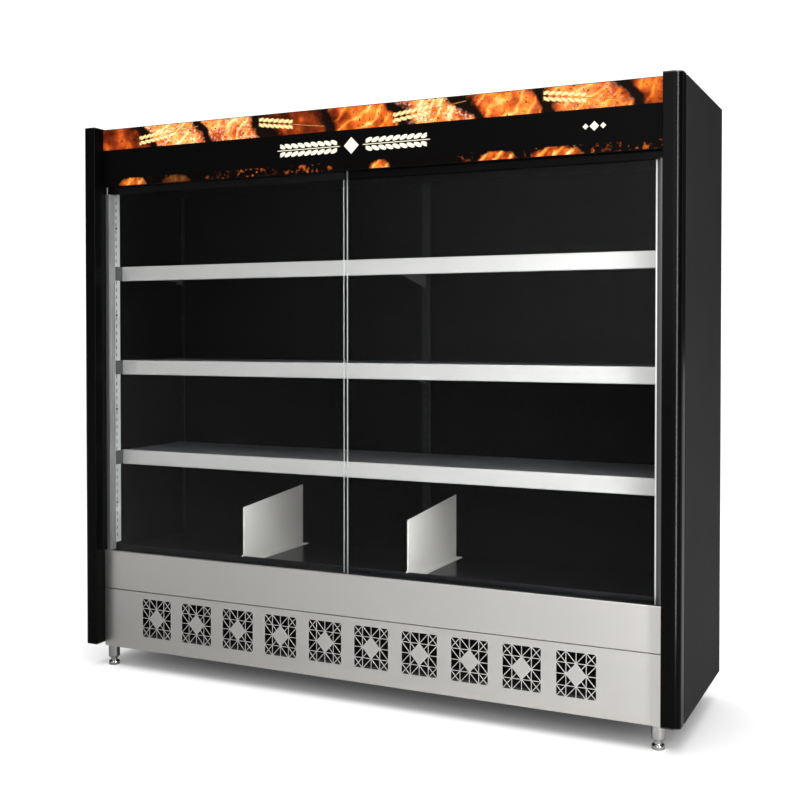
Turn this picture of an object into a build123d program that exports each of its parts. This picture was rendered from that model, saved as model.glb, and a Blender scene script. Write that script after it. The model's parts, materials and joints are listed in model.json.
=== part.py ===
from build123d import *
import math
import os

# Bread display case: a free-standing shop case with two sliding glass doors, three shelves,
# a bin deck with two dividers, a lit header and a stainless front on adjustable legs.
# Millimetres. X runs along the case, Y from the customer's side to the back, Z up.
# The origin is on the floor, under the middle of the case.

os.makedirs("parts", exist_ok=True)

# Overall size
case_width = 2020
case_depth = 600
case_height = 1835
body_clearance = 80

# Sheet and tube
skin = 1.2
liner = 1.0
bend = 1.7
rail = 40
sill_rail = 50
rail_wall = 2.0
sheet_play = 0.5

# Front corner posts
post_width = 52
post_depth = 52
post_radius = 22
post_edge = 1.5
post_wall = 2.0
post_gap = 8
cap_thickness = 3
cap_plug = 14
cap_play = 0.25

# Side walls
tray_depth = 25
tray_lip = 15
tray_radius = 10
upright_depth = 70
rear_inset = 2

# Header
front_recess = 44
header_height = 185
fascia_drop = 13
header_gap = 2
fascia_return = 22
fascia_foot = 8
graphic_thickness = 0.5
graphic_margin = 1

# Cabinet inside
ceiling_flange = 20
rear_cavity = 110
middle_bar_height = 960
deck_height = 390
deck_lip = 22
deck_gap = 1.5

# Stainless front
sill_drop = 40
front_rise = 7
front_seam = 265.5
front_bottom = 68
seam_gap = 1.5
front_fold = 6
hem = 2.5

# Ventilation tiles
tile_count = 10
tile_pitch = 161.3
tile_shift = -14
tile_width = 118
tile_height = 131
tile_centre = 179
tile_cells = 4
tile_rib = 2.6

# Sliding doors
glass = 6
glass_bevel = 0.6
front_door_line = 60
rear_door_line = 80
door_meeting = -33
door_overlap = 22
door_end_gap = 2.5
door_head_gap = 8
stop_play = 0.5
shoe_half = 6
shoe_web = 2
shoe_slot = 12
shoe_fork = 14
shoe_play = 0.15
roller_radius = 9
roller_width = 5
roller_bevel = 0.6
roller_pin = 2
roller_bore_play = 0.05
roller_side_play = 0.5
roller_head_play = 0.7
roller_lift = 0.3
roller_inset = 110

# Door tracks and jambs
track_base = 3
track_rib = 3
track_rib_width = 3
track_half = 8
track_lip = 1.5
track_setdown = 3
track_end_play = 0.3
head_half = 4.5
head_lip = 1.5
head_drop = 36
jamb_base = 1.5
jamb_lip = 1.5
jamb_reach = 16

# Slotted standards
standard_depth = 4
standard_wall = 1.5
side_standard_width = 38
side_standard_gap = 2
corner_standard_width = 12
centre_standard_width = 30
centre_standard_x = 52
slot_pitch = 25
slot_width = 4.5
slot_height = 12
standard_end_gap = 3

# Shelves. Their heights are counted in half slot pitches above the lowest one
lowest_shelf = 732.5
shelf_steps = {"lower": 0, "middle": 25, "top": 51}
shelf_line = 136
shelf_rear_gap = 6
shelf_lip = 48
shelf_fold = 12
shelf_rear_flange = 20
cover_thickness = 0.8
cover_top = 9
cover_under = 8
bracket_thickness = 2
bracket_flange = 15
bracket_relief = 10
bracket_relief_inset = 36
hook_height = 9
hook_play = 0.3
hook_drop = 3
hook_wall = 1.5
stiffener_depth = 30
stiffener_height = 18
stiffener_wall = 1.5
stiffener_gap = 6
centre_bracket_root = 75
centre_bracket_tip = 18
centre_bracket_gap = 10

# Bin dividers
divider_places = {"left": -426, "right": 167}
divider_height = 180
divider_rise = 30
divider_sheet = 1.5
divider_hem = 6
divider_foot = 24
divider_lift = 0.3
divider_front_gap = 6
divider_rear_gap = 12
divider_lap = 3
divider_play = 0.4

# Legs
leg_setback = 22
leg_radius = 19
leg_wall = 1.5
leg_plate = 74
leg_plate_thickness = 4
leg_plate_play = 0.5
leg_bottom = 24
leg_shoulder = 8
leg_floor = 9
leg_bolt_reach = 38
foot_radius = 18
foot_height = 14
foot_edge = 5
foot_bevel = 1
neck_radius = 11
neck_gap = 0.3
stem_radius = 5
stem_play = 0.1
stem_top = 60

# Lamp
lamp_end_gap = 107
lamp_width = 30
lamp_height = 20
lamp_wall = 1.5
lamp_line = 124
lamp_cap = 3
led_width = 14
led_thickness = 1.6
led_size = 3
led_height = 0.8
led_count = 34
diffuser_thickness = 2
diffuser_lip = 6
diffuser_play = 0.1

# Switch, driver, inlet and wiring
switch_inset = 77
switch_line = 150
switch_length = 30
switch_depth = 22
switch_height = 24
switch_wall = 2
switch_bezel = 2
switch_play = 0.1
rocker_end_play = 2
rocker_side_play = 0.4
rocker_drop = 7
rocker_dip = 2
rocker_back = 1
rocker_pivot = 4
rocker_pin = 1.5
rocker_pin_play = 0.05
rocker_tilt = 10
driver_length = 180
driver_width = 44
driver_height = 32
driver_spacing = 320
driver_line = 230
driver_foot = 12
driver_radius = 3
inlet_lift = 90
inlet_width = 48
inlet_rise = 26
inlet_depth = 24
inlet_wall = 2.5
inlet_flange = 6
inlet_flange_thickness = 1.8
inlet_pin_width = 2
inlet_pin_height = 6
inlet_pin_pitch = 12
wire_radius = 3
wire_bend = 24
wire_play = 0.5
wire_offset = 7
wire_lift = 0.3
lamp_lead_spacing = 160

# Screws and bolts
screw_radius = 2
screw_head = 4
screw_head_height = 1.6
screw_length = 8
screw_recess = 0.9
screw_play = 0.1
bolt_radius = 3
bolt_head = 5.5
bolt_head_height = 3.5
bolt_length = 12

# Main planes, worked out from the sizes above
half_width = case_width / 2
front_y = -case_depth / 2
rear_y = case_depth / 2
wall_x = half_width - post_width
liner_x = wall_x - liner
tray_x = half_width - tray_depth
panel_x = wall_x - sheet_play
post_back = front_y + post_depth
tray_front = post_back + post_gap
panel_front = front_y + front_recess
panel_back = panel_front + skin
rail_back = panel_back + rail
back_wall = rear_y - rear_cavity
liner_back = back_wall + liner
back_panel_front = rear_y - rear_inset - skin
rear_rail_front = back_panel_front - rail
base_top = body_clearance + rail
ceiling_height = case_height - header_height
header_bottom = ceiling_height - fascia_drop
sill_top = deck_height - sill_drop
front_top = deck_height + front_rise
fascia_top = case_height - header_gap
roof_top = fascia_top - skin
roof_under = roof_top - skin
header_bar_bottom = ceiling_height + track_base
ceiling_top = ceiling_height + liner
fold_outside = bend + skin / 2
screw_hole = screw_radius + screw_play
bolt_hole = bolt_radius + screw_play

# Door planes and the heights of a door's pieces
front_track = front_y + front_door_line
rear_track = front_y + rear_door_line
track_top = front_top - track_setdown
roller_rail = sill_top + track_base + track_rib
roller_z = roller_rail + roller_radius + roller_lift
fork_top = roller_z + roller_radius + roller_head_play
shoe_bottom = fork_top - shoe_fork
glass_bottom = fork_top + shoe_web
shoe_top = glass_bottom + shoe_slot
glass_top = ceiling_height - door_head_gap
head_bottom = ceiling_height - head_drop
door_end = liner_x - jamb_base - door_end_gap
head_front = front_track - head_half - head_lip
head_back = rear_track + head_half + head_lip
track_front = front_track - track_half - track_lip
track_back = rear_track + track_half + track_lip

# Planes of the standards and shelves
side_standard_front = head_back + side_standard_gap
side_slot_line = side_standard_front + side_standard_width / 2
side_standard_x = liner_x - standard_depth
rear_standard_y = back_wall - standard_depth
bracket_x = side_standard_x - bracket_thickness
shelf_x = bracket_x - sheet_play
shelf_front = front_y + shelf_line
shelf_rear = rear_standard_y - shelf_rear_gap
bend_clear = shelf_rear - skin - bend
shelf_tops = {name: lowest_shelf + steps * slot_pitch / 2 for name, steps in shelf_steps.items()}
slot_grid = lowest_shelf - shelf_lip / 2 + slot_pitch / 4
standard_bottom = deck_height + deck_lip + standard_end_gap
standard_top = ceiling_height - standard_end_gap
corner_standard_x = liner_x - corner_standard_width / 2
corner_slot_x = bracket_x + bracket_thickness / 2
deck_front = track_back + deck_gap
deck_rear = back_wall - sheet_play

# Places of the lamp and what feeds it
lamp_length = 2 * (liner_x - lamp_end_gap)
lamp_y = front_y + lamp_line
led_plane = ceiling_height - lamp_wall
switch_x = liner_x - switch_inset
switch_y = front_y + switch_line
driver_x = switch_x - driver_spacing
driver_y = front_y + driver_line
lamp_wire_x = driver_x - lamp_lead_spacing
inlet_x = switch_x - wire_offset
inlet_height = ceiling_height + inlet_lift
wire_z = ceiling_top + wire_radius + wire_lift


def block(x0, x1, y0, y1, z0, z1):
    """A box between two corners."""
    size = Box(abs(x1 - x0), abs(y1 - y0), abs(z1 - z0))
    return Pos((x0 + x1) / 2, (y0 + y1) / 2, (z0 + z1) / 2) * size


def flipped(shape):
    """The same shape on the other side of the case."""
    return mirror(shape, Plane.YZ)


def rod_x(y, z, x0, x1, radius):
    """A round bar along X."""
    return Pos((x0 + x1) / 2, y, z) * Rot(0, 90, 0) * Cylinder(radius, abs(x1 - x0))


def rod_y(x, z, y0, y1, radius):
    """A round bar along Y."""
    return Pos(x, (y0 + y1) / 2, z) * Rot(90, 0, 0) * Cylinder(radius, abs(y1 - y0))


def rod_z(x, y, z0, z1, radius):
    """A round bar along Z."""
    return Pos(x, y, (z0 + z1) / 2) * Cylinder(radius, abs(z1 - z0))


def tube(axis, x0, x1, y0, y1, z0, z1, wall=rail_wall):
    """A rectangular tube with open ends, along one axis."""
    low = [x0, y0, z0]
    high = [x1, y1, z1]
    for k in range(3):
        grow = 1 if k == axis else -wall
        low[k] -= grow
        high[k] += grow
    inside = block(low[0], high[0], low[1], high[1], low[2], high[2])
    return block(x0, x1, y0, y1, z0, z1) - inside


def folded(points, x0, x1, thickness=skin, radius=bend):
    """Folded sheet along X. The points are its middle line, as (y, z), with rounded bends."""
    section = trace(FilletPolyline(*points, radius=radius), thickness)
    return extrude(Plane.YZ.offset(x0) * section, x1 - x0)


def outline_face(x0, x1, z0, z1, cutouts):
    """A flat face with holes, drawn in the XY plane."""
    border = Wire.make_polygon([(x0, z0, 0), (x1, z0, 0), (x1, z1, 0), (x0, z1, 0)])
    return Face(border, [Wire.make_polygon([(u, v, 0) for u, v in corners]) for corners in cutouts])


def upright_sheet(x0, x1, z0, z1, y, thickness, cutouts):
    """A sheet in the XZ plane with straight-sided cut-outs. Its face is at y and it grows to the back."""
    sheet = Solid.extrude(outline_face(x0, x1, z0, z1, cutouts), Vector(0, 0, -thickness))
    return Pos(0, y, 0) * Rot(90, 0, 0) * sheet


def spread(first, last, count):
    """Evenly spaced values from first to last."""
    return [first + (last - first) * step / (count - 1) for step in range(count)]


def save(name, *shapes):
    """Writes one node. Several separate solids share it as a group."""
    solids = [solid for shape in shapes for solid in shape.solids()]
    node = solids[0] if len(solids) == 1 else Compound(children=solids)
    node.label = name
    export_step(node, f"parts/{name}.step")


# Screws, and the places that their holes share

def pan_screw(radius, head, head_height, length):
    """A pan-head screw. Its seat is at the origin and its head points along +Z."""
    dome = Pos(0, 0, head_height / 2) * Cylinder(head, head_height)
    dome = fillet(dome.edges().group_by(Axis.Z)[-1], head_height / 2)
    cross = Box(head, screw_recess, head_height) + Box(screw_recess, head, head_height)
    shank = Pos(0, 0, -length / 2) * Cylinder(radius, length)
    return dome - Pos(0, 0, head_height) * cross + shank


def sheet_screw():
    return pan_screw(screw_radius, screw_head, screw_head_height, screw_length)


back_rows = (
    body_clearance + rail / 2,
    middle_bar_height,
    roof_under - rail / 2,
)
back_columns = spread(rail, wall_x - rail, 4)
back_screws = [(side * x, z) for side in (-1, 1) for x in back_columns for z in back_rows]
roof_columns = spread(-wall_x + rail, wall_x - rail, 5)
roof_screw_y = back_panel_front - rail / 2
leg_x = wall_x - rail / 2
leg_lines = {1: panel_back + leg_setback, -1: back_panel_front - leg_setback}
leg_corners = [(side, inward, side * leg_x, y) for side in (-1, 1) for inward, y in leg_lines.items()]


def leg_bolts():
    """Two bolts for each leg: one into the long rail and one into the cross rail."""
    places = []
    for side, inward, x, y in leg_corners:
        places.append((x - side * leg_bolt_reach, y))
        places.append((x, y + inward * leg_bolt_reach))
    return places


def standard_screws():
    """Heights halfway between slots, one in each bay."""
    levels = [deck_height, *sorted(shelf_tops.values()), ceiling_height]
    heights = []
    for low, high in zip(levels, levels[1:]):
        step = math.floor(((low + high) / 2 - slot_grid) / slot_pitch)
        heights.append(slot_grid + (step + 0.5) * slot_pitch)
    return heights


def rear_standard_xs():
    return (-corner_slot_x, centre_standard_x, corner_slot_x)


def slots_between(low, high):
    """Slot heights at which a hook stays between two heights."""
    first = math.ceil((low + hook_height / 2 - slot_grid) / slot_pitch)
    last = math.floor((high - hook_height / 2 - slot_grid) / slot_pitch)
    return [slot_grid + k * slot_pitch for k in range(first, last + 1)]


# Frame: base rails, uprights in the side walls and the bars between them

def base_rails():
    bolts = [rod_z(x, y, body_clearance - 1, body_clearance + rail_wall + 1, bolt_hole)
             for x, y in leg_bolts()]
    screws = [rod_y(x, z, back_panel_front - rail_wall - 1, rear_y, screw_hole) for x, z in back_screws]
    front = tube(0, -wall_x, wall_x, panel_back, rail_back, body_clearance, base_top)
    rear = tube(0, -wall_x, wall_x, rear_rail_front, back_panel_front, body_clearance, base_top)
    solids = [front - bolts, rear - bolts - screws]
    for x in spread(-leg_x, leg_x, 4):
        cross = tube(1, x - rail / 2, x + rail / 2, rail_back, rear_rail_front, body_clearance, base_top)
        solids.append(cross - bolts)
    return solids


def frame_uprights():
    holes = [rod_x(side_slot_line, z, wall_x - 1, wall_x + rail_wall + 1, screw_hole)
             for z in standard_screws()]
    stations = (
        (post_back, post_back + upright_depth),
        (liner_back, liner_back + rail),
        (rear_rail_front, back_panel_front),
    )
    solids = []
    for y0, y1 in stations:
        upright = tube(2, wall_x, tray_x, y0, y1, body_clearance, roof_under) - holes
        solids += [upright, flipped(upright)]
    return solids


def frame_crossbars():
    """Bars across the case, each given by its front face, its depth and its underside."""
    middle = middle_bar_height - rail / 2
    bars = (
        (panel_back, sill_rail, sill_top - rail),
        (panel_back, rail, header_bar_bottom),
        (panel_back, rail, roof_under - rail),
        (liner_back + rail - sill_rail, sill_rail, sill_top - rail),
        (liner_back, rail, middle),
        (liner_back, rail, header_bar_bottom),
        (rear_rail_front, rail, middle),
        (rear_rail_front, rail, roof_under - rail),
    )
    holes = [rod_y(x, z, back_panel_front - rail_wall - 1, rear_y, screw_hole) for x, z in back_screws]
    holes += [rod_z(x, roof_screw_y, roof_under - rail_wall - 1, case_height, screw_hole)
              for x in roof_columns]
    holes += [rod_y(x, z, back_wall, liner_back + rail_wall + 1, screw_hole)
              for x in rear_standard_xs() for z in standard_screws()]
    return [tube(0, -wall_x, wall_x, y, y + depth, z, z + rail) - holes for y, depth, z in bars]


# Legs and levelling feet

def leg(side, inward, x, y):
    """A round leg under a corner plate that is bolted to the base rails."""
    top = body_clearance - leg_plate_thickness
    edge_x = side * (wall_x - leg_plate_play)
    edge_y = y - inward * (leg_setback - leg_plate_play)
    far_x, far_y = edge_x - side * leg_plate, edge_y + inward * leg_plate
    plate = block(edge_x, far_x, edge_y, far_y, top, body_clearance)
    plate -= [rod_z(u, v, top - 1, body_clearance + 1, bolt_hole) for u, v in leg_bolts()]
    shell = rod_z(x, y, leg_bottom, top, leg_radius)
    shell = fillet(shell.edges().group_by(Axis.Z)[0], leg_shoulder)
    shell -= rod_z(x, y, leg_bottom + leg_floor, top + 1, leg_radius - leg_wall)
    shell -= rod_z(x, y, leg_bottom - 1, top, stem_radius + stem_play)
    return plate + shell


def levelling_foot(x, y):
    pad = rod_z(x, y, 0, foot_height, foot_radius)
    pad = fillet(pad.edges().group_by(Axis.Z)[-1], foot_edge)
    pad = chamfer(pad.edges().group_by(Axis.Z)[0], foot_bevel)
    neck = rod_z(x, y, foot_height, leg_bottom - neck_gap, neck_radius)
    stem = rod_z(x, y, foot_height, stem_top, stem_radius)
    return pad + neck + stem


# Side walls and posts

def rounded_front(shape, radius):
    """Rounds the outer front corner of an upright piece on the right side."""
    corner = shape.edges().filter_by(Axis.Z).group_by(Axis.Y)[0].sort_by(Axis.X)[-1]
    return fillet(corner, radius)


def side_panel():
    """The right outer panel: a shallow pan with lips that face the frame."""
    outside = block(tray_x, half_width, tray_front, rear_y, body_clearance, case_height)
    inside = block(tray_x + skin, half_width - skin, tray_front + skin, rear_y - skin,
                   body_clearance + skin, case_height - skin)
    mouth = block(tray_x - 1, tray_x + skin + 1, tray_front + tray_lip, rear_y - tray_lip,
                  body_clearance + tray_lip, case_height - tray_lip)
    return rounded_front(outside, tray_radius) - rounded_front(inside, tray_radius - skin) - mouth


def side_liner():
    """The right inner sheet, seen behind the glass."""
    sheet = block(liner_x, wall_x, post_back, liner_back, sill_top, ceiling_top)
    return sheet - [rod_x(side_slot_line, z, liner_x - 1, wall_x + 1, screw_hole) for z in standard_screws()]


def post_outline(inset):
    """The right post's section, drawn in by an inset, seen from above."""
    width, depth = post_width - 2 * inset, post_depth - 2 * inset
    outline = Pos(wall_x + post_width / 2, front_y + post_depth / 2) * Rectangle(width, depth)
    outline = fillet(outline.vertices().group_by(Axis.Y)[0].sort_by(Axis.X)[-1], post_radius - inset)
    return fillet(outline.vertices().group_by(Axis.Y)[0].sort_by(Axis.X)[0], post_edge)


def corner_post():
    bottom, height = body_clearance + cap_thickness, case_height - body_clearance - 2 * cap_thickness
    outside = extrude(Pos(0, 0, bottom) * post_outline(0), height)
    return outside - extrude(Pos(0, 0, bottom) * post_outline(post_wall), height)


def post_cap(seat, up):
    """An end cap with its plug inside the post. up is 1 for the lower cap and -1 for the upper one."""
    lid = extrude(Pos(0, 0, seat) * post_outline(0), -up * cap_thickness)
    plug = extrude(Pos(0, 0, seat) * post_outline(post_wall + cap_play), up * cap_plug)
    return lid + plug


def post_end_caps():
    lower = post_cap(body_clearance + cap_thickness, 1)
    upper = post_cap(case_height - cap_thickness, -1)
    return [lower, upper, flipped(lower), flipped(upper)]


# Back, roof and header

def back_panel(side):
    """One half of the back, screwed to the base rail, the middle bar and the top bar."""
    sheet = block(side * sheet_play / 2, side * (tray_x - sheet_play),
                  back_panel_front, back_panel_front + skin, body_clearance, roof_top)
    sheet -= [rod_y(x, z, back_panel_front - 1, rear_y, screw_hole) for x, z in back_screws]
    if side < 0:
        return sheet
    width, rise = inlet_width / 2 + switch_play, inlet_rise / 2 + switch_play
    return sheet - block(inlet_x - width, inlet_x + width, back_panel_front - 1, rear_y,
                         inlet_height - rise, inlet_height + rise)


def back_liner():
    sheet = block(-liner_x, liner_x, back_wall, liner_back, sill_top, ceiling_top)
    return sheet - [rod_y(x, z, back_wall - 1, liner_back + 1, screw_hole)
                    for x in rear_standard_xs() for z in standard_screws()]


def roof_panel():
    edge = tray_x - sheet_play
    sheet = block(-edge, edge, post_back + sheet_play, back_panel_front, roof_under, roof_top)
    return sheet - [rod_z(x, roof_screw_y, roof_under - 1, roof_top + 1, screw_hole) for x in roof_columns]


def header_fascia():
    """The header's front sheet. Its upper return lies on the roof."""
    middle = panel_front + skin / 2
    return folded([
        (panel_front + fascia_foot, header_bottom + skin / 2),
        (middle, header_bottom + skin / 2),
        (middle, fascia_top - skin / 2),
        (panel_front + fascia_return, fascia_top - skin / 2),
    ], -panel_x, panel_x)


def header_graphic():
    """The printed film on the flat of the header."""
    edge = panel_x - graphic_margin
    return block(-edge, edge, panel_front - graphic_thickness, panel_front,
                 header_bottom + fold_outside, fascia_top - fold_outside)


def header_ceiling():
    """The ceiling sheet, with a flange in front, the switch's cut-out and a hole for the lamp's lead."""
    front = head_back + sheet_play
    sheet = block(-liner_x, liner_x, front, back_wall, ceiling_height, ceiling_top)
    flange = block(-liner_x, liner_x, front, front + liner, ceiling_height, ceiling_height + ceiling_flange)
    half_length, half_depth = switch_length / 2 + switch_play, switch_depth / 2 + switch_play
    cutout = block(switch_x - half_length, switch_x + half_length,
                   switch_y - half_depth, switch_y + half_depth, ceiling_height - 1, ceiling_top + 1)
    lead_hole = rod_z(lamp_wire_x, lamp_y, led_plane, ceiling_top + 1, wire_radius + wire_play)
    return sheet + flange - cutout - lead_hole


# Door tracks and jambs

def door_top_track():
    """A double channel. Its front lip hides behind the header and its hollow middle rib hangs lower."""
    end = liner_x - track_end_play
    rib_front, rib_back = front_track + head_half, rear_track - head_half
    rib = block(-end, end, rib_front, rib_back, head_bottom, ceiling_height)
    hollow = block(-end - 1, end + 1, rib_front + head_lip, rib_back - head_lip,
                   head_bottom + head_lip, ceiling_height)
    base = block(-end, end, head_front, head_back, ceiling_height, header_bar_bottom)
    front_lip = block(-end, end, head_front, head_front + head_lip, header_bottom, ceiling_height)
    rear_lip = block(-end, end, head_back - head_lip, head_back, head_bottom, ceiling_height)
    return base + front_lip + (rib - hollow) + rear_lip


def door_bottom_track():
    """A double channel with a raised rail for the rollers in each groove."""
    end = liner_x - track_end_play
    track = block(-end, end, track_front, track_back, sill_top, sill_top + track_base)
    walls = (
        (track_front, track_front + track_lip),
        (front_track + track_half, rear_track - track_half),
        (track_back - track_lip, track_back),
    )
    for y0, y1 in walls:
        track += block(-end, end, y0, y1, sill_top, track_top)
    for line in (front_track, rear_track):
        half = track_rib_width / 2
        track += block(-end, end, line - half, line + half, sill_top, roller_rail)
    return track


def door_jamb():
    """The right jamb: an upright double channel that the doors' edges close into."""
    jamb = block(liner_x - jamb_base, liner_x, head_front, head_back, track_top, head_bottom)
    fronts = (head_front, front_track + head_half, rear_track - head_half - jamb_lip, head_back - jamb_lip)
    for y in fronts:
        jamb += block(liner_x - jamb_reach, liner_x, y, y + jamb_lip, track_top, head_bottom)
    return jamb


# Sliding doors: each has a pane, a shoe that clamps its lower edge, and two rollers

doors = {
    "left": (-door_end, door_meeting + door_overlap / 2, front_track),
    "right": (door_meeting - door_overlap / 2, door_end, rear_track),
}


def door_glass(x0, x1, line):
    pane = block(x0, x1, line - glass / 2, line + glass / 2, glass_bottom, glass_top)
    return chamfer(pane.edges().filter_by(Axis.Z), glass_bevel)


def door_shoe(x0, x1, line):
    """A metal profile with the pane above, the rollers in a fork below and the rollers' pins."""
    shoe = block(x0, x1, line - shoe_half, line + shoe_half, shoe_bottom, shoe_top)
    slot = glass / 2 + shoe_play
    shoe -= block(x0 - 1, x1 + 1, line - slot, line + slot, glass_bottom, shoe_top + 1)
    fork = roller_width / 2 + roller_side_play
    shoe -= block(x0 - 1, x1 + 1, line - fork, line + fork, shoe_bottom - 1, fork_top)
    pin_end = (fork + shoe_half) / 2
    for x in (x0 + roller_inset, x1 - roller_inset):
        shoe += rod_y(x, roller_z, line - pin_end, line + pin_end, roller_pin)
    return shoe


def door_roller(x, line):
    wheel = rod_y(x, roller_z, line - roller_width / 2, line + roller_width / 2, roller_radius)
    wheel = chamfer(wheel.edges().filter_by(GeomType.CIRCLE), roller_bevel)
    bore = roller_pin + roller_bore_play
    return wheel - rod_y(x, roller_z, line - roller_width, line + roller_width, bore)


def door_bumpers():
    """Rubber stops at the ends of both grooves."""
    solids = []
    for line in (front_track, rear_track):
        stop = block(door_end + stop_play, liner_x - track_end_play, line - shoe_half, line + shoe_half,
                     roller_rail, track_top)
        solids += [stop, flipped(stop)]
    return solids


# Stainless front

def front_upper_panel():
    middle, bottom = panel_front + skin / 2, front_seam + seam_gap / 2
    return folded([
        (panel_front + front_fold, front_top - skin / 2),
        (middle, front_top - skin / 2),
        (middle, bottom + skin / 2),
        (panel_front + front_fold, bottom + skin / 2),
    ], -panel_x, panel_x)


def shrunk_triangle(corners):
    """The triangle's corners, drawn in by half a rib from each side."""
    lengths = [math.dist(corners[k - 2], corners[k - 1]) for k in range(3)]
    around = sum(lengths)
    centre = [sum(length * corner[k] for length, corner in zip(lengths, corners)) / around for k in (0, 1)]
    (ax, ay), (bx, by), (cx, cy) = corners
    area = abs((bx - ax) * (cy - ay) - (cx - ax) * (by - ay)) / 2
    share = 1 - tile_rib / 2 / (2 * area / around)
    return [tuple(centre[k] + (corner[k] - centre[k]) * share for k in (0, 1)) for corner in corners]


def tile_cutouts():
    """One tile's cut-outs about its centre: triangles in a lattice around an eight-pointed star."""
    width, height = tile_width / tile_cells, tile_height / tile_cells
    centre, last = tile_cells / 2, tile_cells - 1
    found = []
    for column in range(tile_cells):
        for row in range(tile_cells):
            x, y = (column - centre) * width, (row - centre) * height
            a, b, c, d = (x, y), (x + width, y), (x + width, y + height), (x, y + height)
            middle = (x + width / 2, y + height / 2)
            on_side, on_end = column in (0, last), row in (0, last)
            if on_side and on_end:
                found += [(a, b, middle), (b, c, middle), (c, d, middle), (d, a, middle)]
            elif on_side or on_end:
                rising = (column < centre) == (row < centre)
                found += [(a, b, c), (a, c, d)] if rising else [(a, b, d), (b, c, d)]
            else:
                found.append((d, a, middle) if column < centre else (b, c, middle))
                found.append((a, b, middle) if row < centre else (c, d, middle))
    return [shrunk_triangle(corners) for corners in found]


def front_grille_panel():
    """The lower front sheet: a row of pierced tiles, a flange above and a hem below."""
    tile = tile_cutouts()
    centres = [tile_shift + (k - (tile_count - 1) / 2) * tile_pitch for k in range(tile_count)]
    cutouts = [[(x + u, tile_centre + v) for u, v in corners] for x in centres for corners in tile]
    top = front_seam - seam_gap / 2
    sheet = upright_sheet(-panel_x, panel_x, front_bottom, top, panel_front, skin, cutouts)
    upper = block(-panel_x, panel_x, panel_back, panel_front + front_fold, top - skin, top)
    lower = block(-panel_x, panel_x, panel_back, panel_back + hem, front_bottom, front_bottom + skin)
    return sheet + upper + lower


# Base pan, bin deck and dividers

def base_pan():
    return block(-wall_x, wall_x, panel_back, back_panel_front, base_top, base_top + skin)


def bin_deck():
    """The black deck. It stands on the sill bars and has a lip in front."""
    middle = deck_height - skin / 2
    top = folded([
        (deck_front + skin / 2, middle),
        (deck_rear - skin / 2, middle),
        (deck_rear - skin / 2, sill_top),
    ], -liner_x, liner_x)
    lip = block(-liner_x, liner_x, deck_front, deck_front + skin, sill_top, deck_height + deck_lip)
    return top + fillet(lip.edges().filter_by(Axis.X).group_by(Axis.Z)[-1], skin / 3)


def divider(x):
    """A bin divider with a hemmed front edge, a foot on the deck and a hook over the deck's lip."""
    low = deck_height + divider_lift
    front, rear = deck_front + skin + divider_front_gap, back_wall - divider_rear_gap
    high = low + divider_height
    outline = Polygon((front, low), (rear, low), (rear, high + divider_rise), (front, high), align=None)
    sheet = extrude(Plane.YZ.offset(x - divider_sheet / 2) * outline, divider_sheet)
    left, right = x - divider_hem / 2, x + divider_hem / 2
    edge = block(left, right, front, front + divider_sheet, low, high)
    foot = block(x, x + divider_foot, front, rear, low, low + divider_sheet)
    hook_front, hook_low = deck_front - divider_play - divider_sheet, deck_height + deck_lip + divider_play
    bridge = block(left, right, hook_front, front, hook_low, hook_low + divider_sheet)
    lap = block(left, right, hook_front, hook_front + divider_sheet, hook_low - divider_lap, hook_low)
    return sheet + edge + foot + bridge + lap


# Slotted standards

def slotted_standard(width, slot_offset):
    """A shallow channel along Z. Its back is at Y 0 and its slotted face looks along -Y."""
    half = width / 2
    cutouts = []
    for z in slots_between(standard_bottom + slot_height / 2, standard_top - slot_height / 2):
        x0, x1 = slot_offset - slot_width / 2, slot_offset + slot_width / 2
        z0, z1 = z - slot_height / 2, z + slot_height / 2
        cutouts.append([(x0, z0), (x1, z0), (x1, z1), (x0, z1)])
    channel = upright_sheet(-half, half, standard_bottom, standard_top, -standard_depth,
                            standard_wall, cutouts)
    for side in (-1, 1):
        channel += block(side * half, side * (half - standard_wall), standard_wall - standard_depth, 0,
                         standard_bottom, standard_top)
    return channel - [rod_y(slot_offset, z, -standard_depth - 1, 1, screw_hole) for z in standard_screws()]


def side_standard():
    """The standard beside the right jamb, with its face to the bread."""
    return Pos(liner_x, side_slot_line, 0) * Rot(0, 0, -90) * slotted_standard(side_standard_width, 0)


def rear_standards():
    corner = slotted_standard(corner_standard_width, corner_slot_x - corner_standard_x)
    corner = Pos(corner_standard_x, back_wall, 0) * corner
    centre = Pos(centre_standard_x, back_wall, 0) * slotted_standard(centre_standard_width, 0)
    return [corner, flipped(corner), centre]


# Shelves, their stiffeners and brackets

def shelf(top):
    """A folded steel shelf with a deep front lip and a short rear flange."""
    front, rear = shelf_front + cover_thickness + skin / 2, shelf_rear - skin / 2
    upper, lower = top - skin / 2, top - shelf_lip + skin / 2
    return folded([
        (shelf_front + shelf_fold, lower),
        (front, lower),
        (front, upper),
        (rear, upper),
        (rear, top - shelf_rear_flange),
    ], -shelf_x, shelf_x)


def lip_cover(top):
    """A thin stainless channel that clips over a shelf's front lip."""
    half = cover_thickness / 2
    front, upper, lower = shelf_front + half, top + half, top - shelf_lip - half
    return folded([
        (shelf_front + cover_under, lower),
        (front, lower),
        (front, upper),
        (shelf_front + cover_top, upper),
    ], -shelf_x, shelf_x, cover_thickness, fold_outside + half)


def stiffener(top):
    front = shelf_front + stiffener_gap
    end = shelf_x - bracket_flange - stiffener_gap
    return tube(0, -end, end, front, front + stiffener_depth, top - skin - stiffener_height, top - skin,
                wall=stiffener_wall)


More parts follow.
